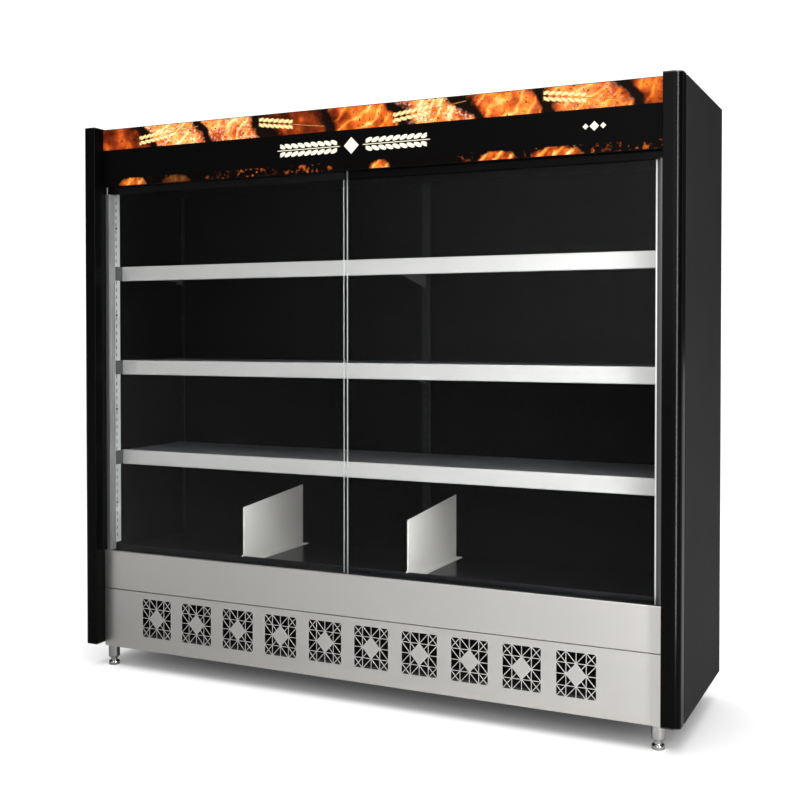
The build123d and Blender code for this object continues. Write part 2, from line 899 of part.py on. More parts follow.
def rear_hooks(x, low, high):
    """Hooks that go back through a rear standard's slots and drop behind its face."""
    half = bracket_thickness / 2
    behind = rear_standard_y + standard_wall + hook_play
    solids = []
    for z in slots_between(low, high):
        top, drop = z + hook_height / 2, z - slot_height / 2 - hook_drop
        solids.append(block(x - half, x + half, rear_standard_y, behind, z - hook_height / 2, top))
        solids.append(block(x - half, x + half, behind, behind + hook_wall, drop, top))
    return solids


def end_bracket(top):
    """The right bracket: a plate beside the shelf's end, a flange under the deck and bent hooks."""
    low = top - shelf_lip
    plate = block(bracket_x, side_standard_x, side_standard_front, rear_standard_y, low, top)
    plate -= block(bracket_x - 1, side_standard_x + 1, shelf_front + bracket_relief_inset,
                   rear_standard_y - bracket_relief_inset, low - 1, low + bracket_relief)
    under = top - skin
    bracket = plate + block(bracket_x - bracket_flange, bracket_x, shelf_front + shelf_fold + sheet_play,
                            bend_clear, under - bracket_thickness, under)
    y0, y1 = side_slot_line - bracket_thickness / 2, side_slot_line + bracket_thickness / 2
    behind = side_standard_x + standard_wall + hook_play
    for z in slots_between(low, top):
        hook_top, drop = z + hook_height / 2, z - slot_height / 2 - hook_drop
        bracket += block(side_standard_x, behind, y0, y1, z - hook_height / 2, hook_top)
        bracket += block(behind, behind + hook_wall, y0, y1, drop, hook_top)
    for hook in rear_hooks(corner_slot_x, low, top):
        bracket += hook
    return bracket


def centre_bracket(top):
    """A tapered plate under the deck that hooks into the centre standard."""
    under, root_top = top - skin, top - shelf_rear_flange - 1
    tip = shelf_front + stiffener_gap + stiffener_depth + centre_bracket_gap
    root_low = under - centre_bracket_root
    outline = Polygon((tip, under), (tip, under - centre_bracket_tip), (rear_standard_y, root_low),
                      (rear_standard_y, root_top), (bend_clear, root_top), (bend_clear, under), align=None)
    face = Plane.YZ.offset(centre_standard_x - bracket_thickness / 2)
    bracket = extrude(face * outline, bracket_thickness)
    for hook in rear_hooks(centre_standard_x, root_low, root_top):
        bracket += hook
    return bracket


# Lamp under the ceiling

def light_housing():
    x, y0, y1 = lamp_length / 2, lamp_y - lamp_width / 2, lamp_y + lamp_width / 2
    bottom = ceiling_height - lamp_height
    channel = block(-x, x, y0, y1, bottom, ceiling_height)
    channel -= block(-x - 1, x + 1, y0 + lamp_wall, y1 - lamp_wall, bottom - 1, led_plane)
    return channel - rod_z(lamp_wire_x, lamp_y, led_plane - 1, ceiling_height + 1, wire_radius + wire_play)


def led_board():
    x, low = lamp_length / 2, led_plane - led_thickness
    board = block(-x, x, lamp_y - led_width / 2, lamp_y + led_width / 2, low, led_plane)
    half = led_size / 2
    for k in range(led_count):
        chip_x = (k + 0.5 - led_count / 2) * lamp_length / led_count
        board += block(chip_x - half, chip_x + half, lamp_y - half, lamp_y + half, low - led_height, low)
    return board


def light_diffuser():
    x, half = lamp_length / 2, lamp_width / 2 - lamp_wall - diffuser_play
    bottom = ceiling_height - lamp_height
    cover = block(-x, x, lamp_y - half, lamp_y + half, bottom, bottom + diffuser_lip)
    inside = half - diffuser_thickness
    return cover - block(-x - 1, x + 1, lamp_y - inside, lamp_y + inside,
                         bottom + diffuser_thickness, bottom + diffuser_lip + 1)


def light_end_caps():
    y0, y1 = lamp_y - lamp_width / 2, lamp_y + lamp_width / 2
    cap = block(lamp_length / 2, lamp_length / 2 + lamp_cap, y0, y1,
                ceiling_height - lamp_height, ceiling_height)
    return [cap, flipped(cap)]


# Switch in the ceiling, driver above it, inlet in the back and the wiring between them

def switch_body():
    x, y = switch_length / 2, switch_depth / 2
    top = ceiling_top + switch_height
    body = block(-x, x, -y, y, ceiling_height, top)
    bezel = block(-x - switch_bezel, x + switch_bezel, -y - switch_bezel, y + switch_bezel,
                  ceiling_height - switch_bezel, ceiling_height)
    cavity = block(-x + switch_wall, x - switch_wall, -y + switch_wall, y - switch_wall,
                   ceiling_height - switch_bezel - 1, top - switch_wall)
    pivot = rod_y(0, ceiling_height + rocker_pivot, -y + switch_wall / 2, y - switch_wall / 2,
                  rocker_pin + rocker_pin_play)
    return Pos(switch_x, switch_y, 0) * (body + bezel - cavity - pivot)


def switch_rocker():
    """The rocker hangs on its pins and rests tilted, with one end pressed in."""
    x = switch_length / 2 - switch_wall - rocker_end_play
    y = switch_depth / 2 - switch_wall - rocker_side_play
    outline = Polygon((-x, rocker_back), (-x, -rocker_drop), (0, rocker_dip - rocker_drop),
                      (x, -rocker_drop), (x, rocker_back), align=None)
    paddle = extrude(Plane.XZ.offset(-y) * outline, 2 * y)
    pins = rod_y(0, 0, -y - switch_wall / 2, y + switch_wall / 2, rocker_pin)
    return Pos(switch_x, switch_y, ceiling_height + rocker_pivot) * Rot(0, -rocker_tilt, 0) * (paddle + pins)


def led_driver():
    box = block(-driver_length / 2, driver_length / 2, -driver_width / 2, driver_width / 2,
                ceiling_top, ceiling_top + driver_height)
    box = fillet(box.edges().filter_by(Axis.Z), driver_radius)
    foot = block(-driver_length / 2 - driver_foot, driver_length / 2 + driver_foot, -driver_width / 4,
                 driver_width / 4, ceiling_top, ceiling_top + skin)
    return Pos(driver_x, driver_y, 0) * (box + foot)


def power_inlet():
    """A flanged socket with three flat pins, open to the back."""
    face = back_panel_front + skin

    def upright_block(grow, y0, y1):
        width, rise = inlet_width / 2 + grow, inlet_rise / 2 + grow
        return block(inlet_x - width, inlet_x + width, y0, y1, inlet_height - rise, inlet_height + rise)

    floor = face - inlet_depth + inlet_wall
    flange = upright_block(inlet_flange, face, face + inlet_flange_thickness)
    flange = fillet(flange.edges().filter_by(Axis.Y), inlet_flange / 2)
    inlet = upright_block(0, face - inlet_depth, face) + flange
    inlet -= upright_block(-inlet_wall, floor, rear_y + 1)
    half_pin, half_rise = inlet_pin_width / 2, inlet_pin_height / 2
    for step in (-1, 0, 1):
        x = inlet_x + step * inlet_pin_pitch
        inlet += block(x - half_pin, x + half_pin, floor, face - inlet_wall,
                       inlet_height - half_rise, inlet_height + half_rise)
    return inlet


def wire(*points):
    """A round lead along straight runs joined by arcs."""
    path = FilletPolyline(*points, radius=wire_bend)
    start = Vector(*points[0])
    section = Plane(origin=start, z_dir=Vector(*points[1]) - start) * Circle(wire_radius)
    return sweep(section, path=path)


def header_wiring():
    """Three leads: inlet to switch, switch to driver and driver to lamp."""
    inlet_front = back_panel_front + skin - inlet_depth
    drop_y = back_wall - rail
    lamp_z = led_plane + wire_bend + wire_radius
    turn_x = (driver_x + driver_length / 2 + switch_x - switch_length / 2) / 2
    switch_lead_y = switch_y - wire_offset
    feed = wire(
        (inlet_x, inlet_front, inlet_height),
        (inlet_x, drop_y, inlet_height),
        (inlet_x, drop_y, wire_z),
        (inlet_x, switch_y + switch_depth / 2, wire_z),
    )
    switched = wire(
        (switch_x - switch_length / 2, switch_lead_y, wire_z),
        (turn_x, switch_lead_y, wire_z),
        (turn_x, driver_y, wire_z + skin),
        (driver_x + driver_length / 2, driver_y, wire_z + skin),
    )
    lamp = wire(
        (driver_x - driver_length / 2, driver_y, lamp_z),
        (lamp_wire_x, driver_y, lamp_z),
        (lamp_wire_x, lamp_y, lamp_z),
        (lamp_wire_x, lamp_y, led_plane),
    )
    return [feed, switched, lamp]


# Screws in place

def panel_screws():
    """Screws of the back panels and the roof."""
    back = [Pos(x, back_panel_front + skin, z) * Rot(-90, 0, 0) * sheet_screw() for x, z in back_screws]
    roof = [Pos(x, roof_screw_y, roof_top) * sheet_screw() for x in roof_columns]
    return back + roof


def frame_screws():
    """Bolts of the legs and screws of the standards."""
    bolt = pan_screw(bolt_radius, bolt_head, bolt_head_height, bolt_length)
    plate_under = body_clearance - leg_plate_thickness
    solids = [Pos(x, y, plate_under) * Rot(180, 0, 0) * bolt for x, y in leg_bolts()]
    for z in standard_screws():
        side = Pos(side_standard_x, side_slot_line, z) * Rot(0, -90, 0) * sheet_screw()
        solids += [side, flipped(side)]
        solids += [Pos(x, rear_standard_y, z) * Rot(90, 0, 0) * sheet_screw() for x in rear_standard_xs()]
    return solids


# Nodes: one file for each

save("base_rails", *base_rails())
save("frame_uprights", *frame_uprights())
save("frame_crossbars", *frame_crossbars())
save("legs", *[leg(*corner) for corner in leg_corners])
save("levelling_feet", *[levelling_foot(x, y) for _, _, x, y in leg_corners])

pairs = {
    "side_panel": side_panel(),
    "side_liner": side_liner(),
    "post": corner_post(),
    "jamb": door_jamb(),
    "front_standard": side_standard(),
}
for pair_name, right_piece in pairs.items():
    save(f"right_{pair_name}", right_piece)
    save(f"left_{pair_name}", flipped(right_piece))
save("post_end_caps", *post_end_caps())

save("back_panel_left", back_panel(-1))
save("back_panel_right", back_panel(1))
save("back_liner", back_liner())
save("roof_panel", roof_panel())
save("header_fascia", header_fascia())
save("header_graphic", header_graphic())
save("header_ceiling", header_ceiling())

save("door_top_track", door_top_track())
save("door_bottom_track", door_bottom_track())
save("door_bumpers", *door_bumpers())
for door_name, (start_x, end_x, door_line) in doors.items():
    save(f"{door_name}_door_glass", door_glass(start_x, end_x, door_line))
    save(f"{door_name}_door_shoe", door_shoe(start_x, end_x, door_line))
    save(f"{door_name}_door_roller_a", door_roller(start_x + roller_inset, door_line))
    save(f"{door_name}_door_roller_b", door_roller(end_x - roller_inset, door_line))

save("front_upper_panel", front_upper_panel())
save("front_grille_panel", front_grille_panel())
save("base_pan", base_pan())
save("bin_deck", bin_deck())
for divider_name, divider_x in divider_places.items():
    save(f"divider_{divider_name}", divider(divider_x))

save("rear_standards", *rear_standards())
for shelf_name, shelf_top in shelf_tops.items():
    save(f"shelf_{shelf_name}", shelf(shelf_top))
save("shelf_lip_covers", *[lip_cover(top) for top in shelf_tops.values()])
right_brackets = [end_bracket(top) for top in shelf_tops.values()]
save("right_shelf_brackets", *right_brackets)
save("left_shelf_brackets", *[flipped(bracket) for bracket in right_brackets])
save("centre_shelf_brackets", *[centre_bracket(top) for top in shelf_tops.values()])
save("shelf_stiffeners", *[stiffener(top) for top in shelf_tops.values()])

save("light_housing", light_housing())
save("led_board", led_board())
save("light_diffuser", light_diffuser())
save("light_end_caps", *light_end_caps())
save("led_driver", led_driver())
save("switch_body", switch_body())
save("switch_rocker", switch_rocker())
save("power_inlet", power_inlet())
save("header_wiring", *header_wiring())
save("panel_screws", *panel_screws())
save("frame_screws", *frame_screws())
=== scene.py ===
import json
import math

import bmesh
import bpy
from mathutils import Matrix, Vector


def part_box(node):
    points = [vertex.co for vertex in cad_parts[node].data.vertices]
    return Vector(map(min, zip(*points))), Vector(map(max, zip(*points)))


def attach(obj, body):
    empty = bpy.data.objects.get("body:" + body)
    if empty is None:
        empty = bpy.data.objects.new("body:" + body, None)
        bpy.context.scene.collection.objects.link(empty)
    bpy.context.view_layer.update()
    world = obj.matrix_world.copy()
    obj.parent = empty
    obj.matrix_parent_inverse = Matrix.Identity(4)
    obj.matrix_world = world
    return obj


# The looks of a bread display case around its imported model. Metres, in the model's own frame:
# X runs along the case, Y from the customer's side to the back, Z up.

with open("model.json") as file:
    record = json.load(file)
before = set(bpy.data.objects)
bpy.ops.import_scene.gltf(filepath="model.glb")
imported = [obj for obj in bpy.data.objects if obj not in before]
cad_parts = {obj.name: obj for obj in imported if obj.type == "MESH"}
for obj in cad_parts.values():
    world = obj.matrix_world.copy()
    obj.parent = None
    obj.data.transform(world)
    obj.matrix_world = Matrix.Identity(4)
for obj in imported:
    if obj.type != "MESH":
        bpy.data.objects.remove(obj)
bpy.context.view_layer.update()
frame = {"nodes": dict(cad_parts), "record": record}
cad_nodes = frame["nodes"]

MM = 0.001

# Camera, as the photograph was taken: turns in degrees, focal length and centre row in pixels
PHOTO_SIZE = 800
CAMERA_PLACE = (1.6334, -3.3424, 1.1385)
CAMERA_TURN = 25.45
CAMERA_DIP = 1.01
FOCAL_PIXELS = 1139.2
CENTRE_ROW = 353.7
SENSOR = 36.0


def add_camera():
    data = bpy.data.cameras.new("camera")
    data.sensor_width = SENSOR
    data.lens = FOCAL_PIXELS / PHOTO_SIZE * SENSOR
    data.shift_y = (CENTRE_ROW - PHOTO_SIZE / 2) / PHOTO_SIZE
    data.clip_start, data.clip_end = 0.05, 200
    camera = bpy.data.objects.new("camera", data)
    camera.location = CAMERA_PLACE
    camera.rotation_euler = (math.radians(90 - CAMERA_DIP), 0, math.radians(CAMERA_TURN))
    bpy.context.scene.collection.objects.link(camera)
    bpy.context.scene.camera = camera


# Node graphs

def add_node(tree, kind, inputs=None, **settings):
    """A new node. An input takes a socket, which is linked, or a plain value."""
    node = tree.nodes.new(kind)
    for key, value in settings.items():
        setattr(node, key, value)
    for key, value in (inputs or {}).items():
        if isinstance(value, bpy.types.NodeSocket):
            tree.links.new(value, node.inputs[key])
        else:
            node.inputs[key].default_value = value
    return node


def calculate(tree, operation, *values, clamp=False):
    """The result of one Math node."""
    inputs = dict(enumerate(values))
    return add_node(tree, "ShaderNodeMath", inputs, operation=operation, use_clamp=clamp).outputs[0]


class Graph:
    """A material with one Principled shader and short calls for the nodes that feed it."""

    def __init__(self, name):
        self.material = bpy.data.materials.new(name)
        self.material.use_nodes = True
        self.tree = self.material.node_tree
        self.tree.nodes.clear()
        self.output = self.tree.nodes.new("ShaderNodeOutputMaterial")
        self.shader = self.add("ShaderNodeBsdfPrincipled")
        self.link(self.shader.outputs[0], self.output.inputs["Surface"])
        self.place = self.add("ShaderNodeTexCoord").outputs["Object"]

    def link(self, source, target):
        self.tree.links.new(source, target)

    def add(self, kind, inputs=None, **settings):
        return add_node(self.tree, kind, inputs, **settings)

    def set(self, **values):
        """Sets the shader's sockets; an underscore in a name stands for a space."""
        for key, value in values.items():
            socket = self.shader.inputs[key.replace("_", " ")]
            if isinstance(value, bpy.types.NodeSocket):
                self.link(value, socket)
            else:
                socket.default_value = value

    def math(self, operation, *values):
        return calculate(self.tree, operation, *values)

    def stretched(self, x, y, z):
        return self.add("ShaderNodeMapping", {"Vector": self.place, "Scale": (x, y, z)}).outputs[0]

    def noise(self, scale, detail=2.0, vector=None, roughness=0.5):
        inputs = {"Vector": vector or self.place, "Scale": scale, "Detail": detail, "Roughness": roughness}
        return self.add("ShaderNodeTexNoise", inputs).outputs[0]

    def cells(self, scale, output="Color"):
        return self.add("ShaderNodeTexVoronoi", {"Vector": self.place, "Scale": scale}).outputs[output]

    def lot(self, value):
        """A number between 0 and 1 that is drawn for each whole value."""
        return self.add("ShaderNodeTexWhiteNoise", {"W": value}, noise_dimensions="1D").outputs[0]

    def remap(self, value, low, high, start=0.0, end=1.0):
        inputs = {"Value": value, "From Min": start, "From Max": end, "To Min": low, "To Max": high}
        return self.add("ShaderNodeMapRange", inputs).outputs[0]

    def mix(self, share, a, b):
        """A colour between two. The numbers are the places of the Mix node's colour sockets."""
        return self.add("ShaderNodeMix", {0: share, 6: a, 7: b}, data_type="RGBA").outputs[2]

    def ramp(self, value, stops):
        node = self.add("ShaderNodeValToRGB", {"Fac": value})
        points = node.color_ramp.elements
        while len(points) < len(stops):
            points.new(0.5)
        for point, (place, colour) in zip(points, stops):
            point.position = place
            point.color = colour
        return node.outputs[0]

    def bump(self, height, depth):
        node = self.add("ShaderNodeBump", {"Height": height, "Distance": depth, "Strength": 1.0})
        self.link(node.outputs[0], self.shader.inputs["Normal"])
        return self

    def split(self):
        parts = self.add("ShaderNodeSeparateXYZ", {"Vector": self.place}).outputs
        return parts[0], parts[1], parts[2]


def shade(colour, share):
    """An RGBA colour, made lighter or darker by a share."""
    return (*[min(1.0, channel * share) for channel in colour], 1.0)


# Materials. A grain or scale is counted per metre, and a bump's depth is given in millimetres.

PAINT_PATCHES = 5
MOULD_GRAIN = 1500
TURNING_RINGS = 900
LENGTHWISE_GRAIN = (1.5, 800, 800)
UPRIGHT_GRAIN = (700, 700, 2)


def paint(name, colour, roughness, gloss=0.2, grain=700, depth=0.005, spread=0.16):
    """Powder coat: a fine orange peel, with soft patches in colour and gloss."""
    graph = Graph(name)
    graph.set(Specular_IOR_Level=gloss)
    soft = graph.noise(PAINT_PATCHES, 3)
    graph.set(Base_Color=graph.mix(soft, shade(colour, 1 - spread), shade(colour, 1 + spread)))
    graph.set(Roughness=graph.remap(graph.noise(grain / 12, 2), roughness - 0.05, roughness + 0.05))
    return graph.bump(graph.noise(grain, 1), depth * MM)


def moulded(name, colour, roughness, depth=0.03):
    """Moulded plastic with a spark-eroded grain."""
    graph = Graph(name)
    graph.set(Base_Color=graph.mix(graph.noise(30), shade(colour, 0.85), shade(colour, 1.15)))
    graph.set(Roughness=graph.remap(graph.noise(MOULD_GRAIN / 10), roughness - 0.08, roughness + 0.08))
    return graph.bump(graph.cells(MOULD_GRAIN, "Distance"), depth * MM)


def brushed(name, colour, roughness, along=LENGTHWISE_GRAIN, metal=1.0):
    """Brushed metal. The grain is drawn out along the axis with the small scale."""
    graph = Graph(name)
    streaks = graph.noise(1, 3, graph.stretched(*along), 0.65)
    clouds = graph.noise(2.6, 2, graph.stretched(1, 1, 0.12))
    tone = graph.math("MULTIPLY_ADD", clouds, 0.5, graph.math("MULTIPLY", streaks, 0.5))
    graph.set(Base_Color=graph.mix(tone, shade(colour, 0.91), shade(colour, 1.09)), Metallic=metal)
    graph.set(Roughness=graph.remap(streaks, roughness - 0.06, roughness + 0.06))
    return graph.bump(streaks, 0.006 * MM)


def spangled(name, colour, roughness, scale):
    """Galvanised sheet: pale crystal patches with a slightly different gloss each."""
    graph = Graph(name)
    crystal = graph.cells(scale)
    level = graph.add("ShaderNodeRGBToBW", {"Color": crystal}).outputs[0]
    graph.set(Metallic=1.0, Base_Color=graph.mix(level, shade(colour, 0.82), shade(colour, 1.12)))
    graph.set(Roughness=graph.remap(level, roughness - 0.07, roughness + 0.07))
    return graph.bump(graph.noise(scale * 4), 0.01 * MM)


def zinc_plated(name, colour, roughness):
    """Pale zinc plating: cloudy, with fine specks, less like a mirror than bare steel."""
    graph = Graph(name)
    clouds = graph.noise(45, 4, roughness=0.7)
    specks = graph.remap(graph.noise(700, 2), 0.0, 1.0, 0.62, 0.75)
    tone = graph.mix(clouds, shade(colour, 0.85), shade(colour, 1.12))
    graph.set(Metallic=0.35, Base_Color=graph.mix(specks, tone, shade(colour, 0.55)))
    graph.set(Roughness=graph.remap(clouds, roughness - 0.08, roughness + 0.08))
    return graph.bump(graph.noise(500), 0.004 * MM)


def polished(name, colour, roughness):
    """Turned and polished steel with faint rings along Z."""
    graph = Graph(name)
    rings = graph.noise(1, 2, graph.stretched(4, 4, TURNING_RINGS))
    graph.set(Metallic=1.0, Base_Color=graph.mix(rings, shade(colour, 0.92), shade(colour, 1.05)))
    graph.set(Roughness=graph.remap(graph.noise(60), roughness - 0.03, roughness + 0.06))
    return graph.bump(rings, 0.003 * MM)


def rubber(name, colour, roughness=0.8):
    graph = Graph(name)
    graph.set(Base_Color=graph.mix(graph.noise(200), shade(colour, 0.8), shade(colour, 1.3)))
    graph.set(Roughness=graph.remap(graph.noise(300), roughness - 0.06, roughness + 0.06))
    return graph.bump(graph.noise(2500), 0.02 * MM)


def door_glass():
    """Clear pane. Lamps shine through it, and a faint film of dust shows in the gloss."""
    graph = Graph("door_glass")
    graph.set(Base_Color=(0.985, 0.99, 0.988, 1), Transmission_Weight=1.0, IOR=1.45)
    graph.set(Specular_Tint=(0.12, 0.12, 0.12, 1), Roughness=graph.remap(graph.noise(3, 4), 0.0, 0.02))
    clear = graph.add("ShaderNodeBsdfTransparent", {"Color": (0.93, 0.95, 0.945, 1)})
    path = graph.add("ShaderNodeLightPath")
    mixed = graph.add("ShaderNodeMixShader")
    graph.link(path.outputs["Is Shadow Ray"], mixed.inputs[0])
    graph.link(graph.shader.outputs[0], mixed.inputs[1])
    graph.link(clear.outputs[0], mixed.inputs[2])
    graph.link(mixed.outputs[0], graph.output.inputs["Surface"])
    return graph


def glass_edge():
    """The ground edge of a pane: grey with a trace of green, with fine grinding marks."""
    graph = Graph("glass_edge")
    marks = graph.noise(1, 2, graph.stretched(900, 900, 25))
    graph.set(Base_Color=graph.mix(marks, (0.22, 0.235, 0.23, 1), (0.34, 0.355, 0.35, 1)))
    graph.set(Roughness=graph.remap(marks, 0.22, 0.4), Specular_IOR_Level=0.7)
    return graph.bump(marks, 0.005 * MM)


def edge_profile():
    """Smoke-grey plastic profile, faintly ribbed along its length."""
    graph = Graph("edge_profile")
    ribs = graph.noise(1, 1, graph.stretched(500, 500, 1))
    graph.set(Base_Color=graph.mix(ribs, (0.045, 0.045, 0.046, 1), (0.08, 0.08, 0.082, 1)))
    graph.set(Roughness=graph.remap(ribs, 0.3, 0.45), Specular_IOR_Level=0.4)
    return graph.bump(ribs, 0.01 * MM)


# The header print: a black band between two strips with loaves. Wheat ears lie over the upper
# strip, and the band holds a plain ornament of kernels and lozenges.

STRIP_LOW, STRIP_HIGH = 1.664, 1.762
BAND_MIDDLE = 1.713
LOAF_PITCH, LOAF_SLASH_PITCH = 0.236, 0.058
EAR_PITCH = 0.472
BUN_PITCH, BUN_BASE, BUN_HEIGHT, BUN_SLASH_PITCH = 0.185, 1.636, 0.031, 0.044
EAR_MIDDLE = 1.797
EAR_REACH, STALK_REACH = (0.30, 0.56), (0.54, 0.80)
# Kernels: pitch, distance from the spine, half length, half width, and how far they lean outwards
WHEAT_KERNELS = (0.0185, 0.0085, 0.0108, 0.0075, 1.1)
ORNAMENT_KERNELS = (0.0235, 0.0125, 0.0115, 0.0085, 0.9)
ORNAMENT_REACH, SPINE_REACH = (0.05, 0.252), (0.04, 0.262)
# The lozenges in the band: place along the case and half width
LOZENGES = ((0.0, 0.026), (0.735, 0.009), (0.760, 0.014), (0.785, 0.009))
CREAM = (0.84, 0.78, 0.60, 1)
BAND_BLACK = (0.0019, 0.0019, 0.0021, 1)
FLOUR = (0.95, 0.85, 0.68, 1)
PORES = (0.12, 0.022, 0.005, 1)
LOAF_GAPS = (0.006, 0.003, 0.002, 1)
DARK_GROUND = (0.0022, 0.0017, 0.0015, 1)
CRUSTS = (
    (0.00, (0.04, 0.006, 0.002, 1)),
    (0.24, (0.22, 0.028, 0.005, 1)),
    (0.44, (0.58, 0.095, 0.012, 1)),
    (0.64, (0.80, 0.24, 0.030, 1)),
    (0.84, (0.90, 0.48, 0.13, 1)),
    (1.00, (0.95, 0.78, 0.48, 1)),
)


def band(graph, value, low, high, soft):
    """1 between two values, with soft ends."""
    rise = graph.remap(value, 0.0, 1.0, low - soft, low + soft)
    fall = graph.remap(value, 1.0, 0.0, high - soft, high + soft)
    return graph.math("MULTIPLY", rise, fall)


def kernel_rows(graph, along, across, pitch, offset, length, width, lean):
    """Kernels in pairs, leaning outwards along a spine. Gives 0 in their middle and 1 at their rim."""
    out = graph.math("SUBTRACT", graph.math("ABSOLUTE", across), offset)
    slid = graph.math("MULTIPLY_ADD", out, -lean, along)
    share = graph.math("FRACT", graph.math("DIVIDE", slid, pitch))
    near = graph.math("MULTIPLY", graph.math("SUBTRACT", share, 0.5), pitch / length)
    far = graph.math("DIVIDE", out, width)
    return graph.math("ADD", graph.math("MULTIPLY", near, near), graph.math("MULTIPLY", far, far))


def loaves(graph, x, z):
    """A row of close loaves: a crust of its own for each, slashes, flour and dark gaps between."""
    sway = graph.math("MULTIPLY", graph.math("SUBTRACT", graph.noise(9, 3), 0.5), 0.16)
    place = graph.math("DIVIDE", graph.math("ADD", graph.math("MULTIPLY_ADD", z, 0.7, x), sway), LOAF_PITCH)
    kind = graph.lot(graph.math("FLOOR", place))
    side = graph.math("ABSOLUTE", graph.math("SUBTRACT", graph.math("FRACT", place), 0.5))
    body = graph.remap(side, 1.0, 0.0, 0.25, 0.45)
    crust = graph.noise(20, 4, roughness=0.52)
    level = graph.math("MULTIPLY_ADD", graph.math("SUBTRACT", crust, 0.5), 1.2, graph.remap(kind, 0.06, 0.62))
    level = graph.math("ADD", level, graph.math("MULTIPLY", graph.math("SUBTRACT", body, 0.75), 0.35))
    slash_place = graph.math("DIVIDE", graph.math("MULTIPLY_ADD", z, -0.9, graph.math("ADD", x, sway)),
                             LOAF_SLASH_PITCH)
    slash = band(graph, graph.math("FRACT", slash_place), 0.16, 0.40, 0.09)
    slash = graph.math("MULTIPLY", slash, graph.remap(kind, 0.0, 0.26, 0.35, 0.55))
    colour = graph.ramp(graph.math("ADD", level, slash), CRUSTS)
    flour = graph.math("MULTIPLY", graph.remap(graph.noise(110, 3), 0.0, 0.8, 0.5, 0.72),
                       graph.remap(kind, 0.0, 1.0, 0.55, 0.95))
    colour = graph.mix(flour, colour, FLOUR)
    pores = graph.remap(graph.noise(120, 2), 1.0, 0.0, 0.30, 0.40)
    colour = graph.mix(pores, colour, PORES)
    return graph.mix(graph.remap(body, 1.0, 0.0, 0.05, 0.38), colour, LOAF_GAPS)


def buns(graph, x, z):
    """Loaves on a dark ground, of many widths and some of them in shade, with slashes and a dark rim."""
    place = graph.math("DIVIDE", x, BUN_PITCH)
    kind = graph.lot(graph.math("FLOOR", place))
    reach = graph.remap(graph.lot(graph.math("FLOOR", graph.math("ADD", place, 40.0))), 0.16, 0.47)
    room = graph.math("SUBTRACT", 0.5, reach)
    middle = graph.math("MULTIPLY_ADD", room, graph.math("SUBTRACT", kind, 0.5), 0.5)
    side = graph.math("DIVIDE", graph.math("SUBTRACT", graph.math("FRACT", place), middle), reach)
    rise = graph.math("DIVIDE", graph.math("SUBTRACT", z, BUN_BASE), BUN_HEIGHT)
    rim = graph.math("ADD", graph.math("MULTIPLY", side, side), graph.math("MULTIPLY", rise, rise))
    rim = graph.math("ADD", rim, graph.math("MULTIPLY", graph.math("SUBTRACT", graph.noise(55, 3), 0.5), 0.9))
    patches = graph.math("SUBTRACT", graph.noise(60, 4), 0.5)
    crust = graph.math("MULTIPLY_ADD", patches, 0.9, graph.remap(kind, 0.62, 0.30))
    slash_place = graph.math("DIVIDE", graph.math("SUBTRACT", x, z), BUN_SLASH_PITCH)
    slash_place = graph.math("MULTIPLY_ADD", patches, 0.5, slash_place)
    slash = band(graph, graph.math("FRACT", slash_place), 0.2, 0.5, 0.1)
    colour = graph.ramp(graph.math("MULTIPLY_ADD", slash, graph.remap(kind, 0.0, 0.5), crust), CRUSTS)
    lit = graph.math("MULTIPLY", graph.remap(rim, 1.0, 0.0, 0.5, 1.0), graph.remap(kind, 0.0, 1.0, 0.25, 0.6))
    bits = graph.math("MULTIPLY", graph.remap(graph.noise(75, 3), 0.0, 0.7, 0.54, 0.68),
                      graph.remap(graph.noise(1, 2, graph.stretched(5, 1, 1)), 0.0, 1.0, 0.48, 0.56))
    ground = graph.mix(bits, DARK_GROUND, graph.ramp(graph.noise(38, 4), CRUSTS))
    return graph.mix(lit, ground, colour)


def wheat(graph, x, z):
    """Golden ears at wide spaces, tilted up and down in turn. Returns their mask and their colour."""
    place = graph.math("DIVIDE", x, EAR_PITCH)
    share = graph.math("FRACT", place)
    turn = graph.math("FRACT", graph.math("MULTIPLY", graph.math("FLOOR", place), 0.5))
    slope = graph.math("MULTIPLY_ADD", turn, -0.52, 0.13)
    tilt = graph.math("MULTIPLY", slope, graph.math("SUBTRACT", share, 0.5))
    middle = graph.math("MULTIPLY_ADD", tilt, EAR_PITCH, EAR_MIDDLE)
    across = graph.math("SUBTRACT", z, middle)
    reach = kernel_rows(graph, x, across, *WHEAT_KERNELS)
    ears = graph.math("MULTIPLY", graph.remap(reach, 1.0, 0.0, 0.8, 1.0),
                      band(graph, share, *EAR_REACH, 0.006))
    stalk = graph.math("MULTIPLY", band(graph, across, -0.0012, 0.0012, 0.0006),
                       band(graph, share, *STALK_REACH, 0.006))
    mask = graph.math("MAXIMUM", ears, stalk)
    tone = graph.math("MULTIPLY_ADD", graph.noise(160, 2), 0.5, graph.remap(reach, 0.6, 0.0))
    return mask, graph.ramp(tone, ((0.2, (0.30, 0.10, 0.015, 1)), (0.8, (0.96, 0.74, 0.33, 1))))


